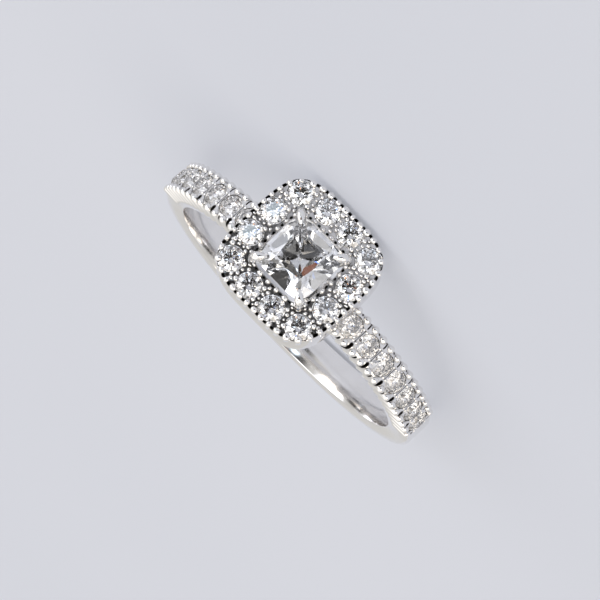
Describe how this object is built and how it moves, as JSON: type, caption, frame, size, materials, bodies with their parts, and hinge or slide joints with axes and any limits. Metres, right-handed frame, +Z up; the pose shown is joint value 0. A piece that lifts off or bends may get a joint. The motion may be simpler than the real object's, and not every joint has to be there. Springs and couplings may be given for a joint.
{
  "type": "halo ring",
  "caption": "Cushion halo ring: a claw-set cushion diamond in a pavé halo on a slim bead-set hoop, lying on its side.",
  "frame": {"origin": "middle of the underside of the ring's bounding box, on the surface that it lies on", "axes": "+Z up from that surface, -Y out through the head, +X along the band at the head"},
  "size_m": [0.0196, 0.0228, 0.0077],
  "materials": {
    "white_gold": "polished",
    "diamond": "faceted and polished"
  },
  "bodies": {
    "root": {"ring_mount": "white_gold", "centre_stone": "diamond", "halo_stone_01": "diamond", "halo_stone_02": "diamond", "halo_stone_03": "diamond", "halo_stone_04": "diamond", "halo_stone_05": "diamond", "halo_stone_06": "diamond", "halo_stone_07": "diamond", "halo_stone_08": "diamond", "halo_stone_09": "diamond", "halo_stone_10": "diamond", "halo_stone_11": "diamond", "halo_stone_12": "diamond", "left_shoulder_stone_01": "diamond", "left_shoulder_stone_02": "diamond", "left_shoulder_stone_03": "diamond", "left_shoulder_stone_04": "diamond", "left_shoulder_stone_05": "diamond", "left_shoulder_stone_06": "diamond", "left_shoulder_stone_07": "diamond", "right_shoulder_stone_01": "diamond", "right_shoulder_stone_02": "diamond", "right_shoulder_stone_03": "diamond", "right_shoulder_stone_04": "diamond", "right_shoulder_stone_05": "diamond", "right_shoulder_stone_06": "diamond", "right_shoulder_stone_07": "diamond"}
  },
  "joints": []
}
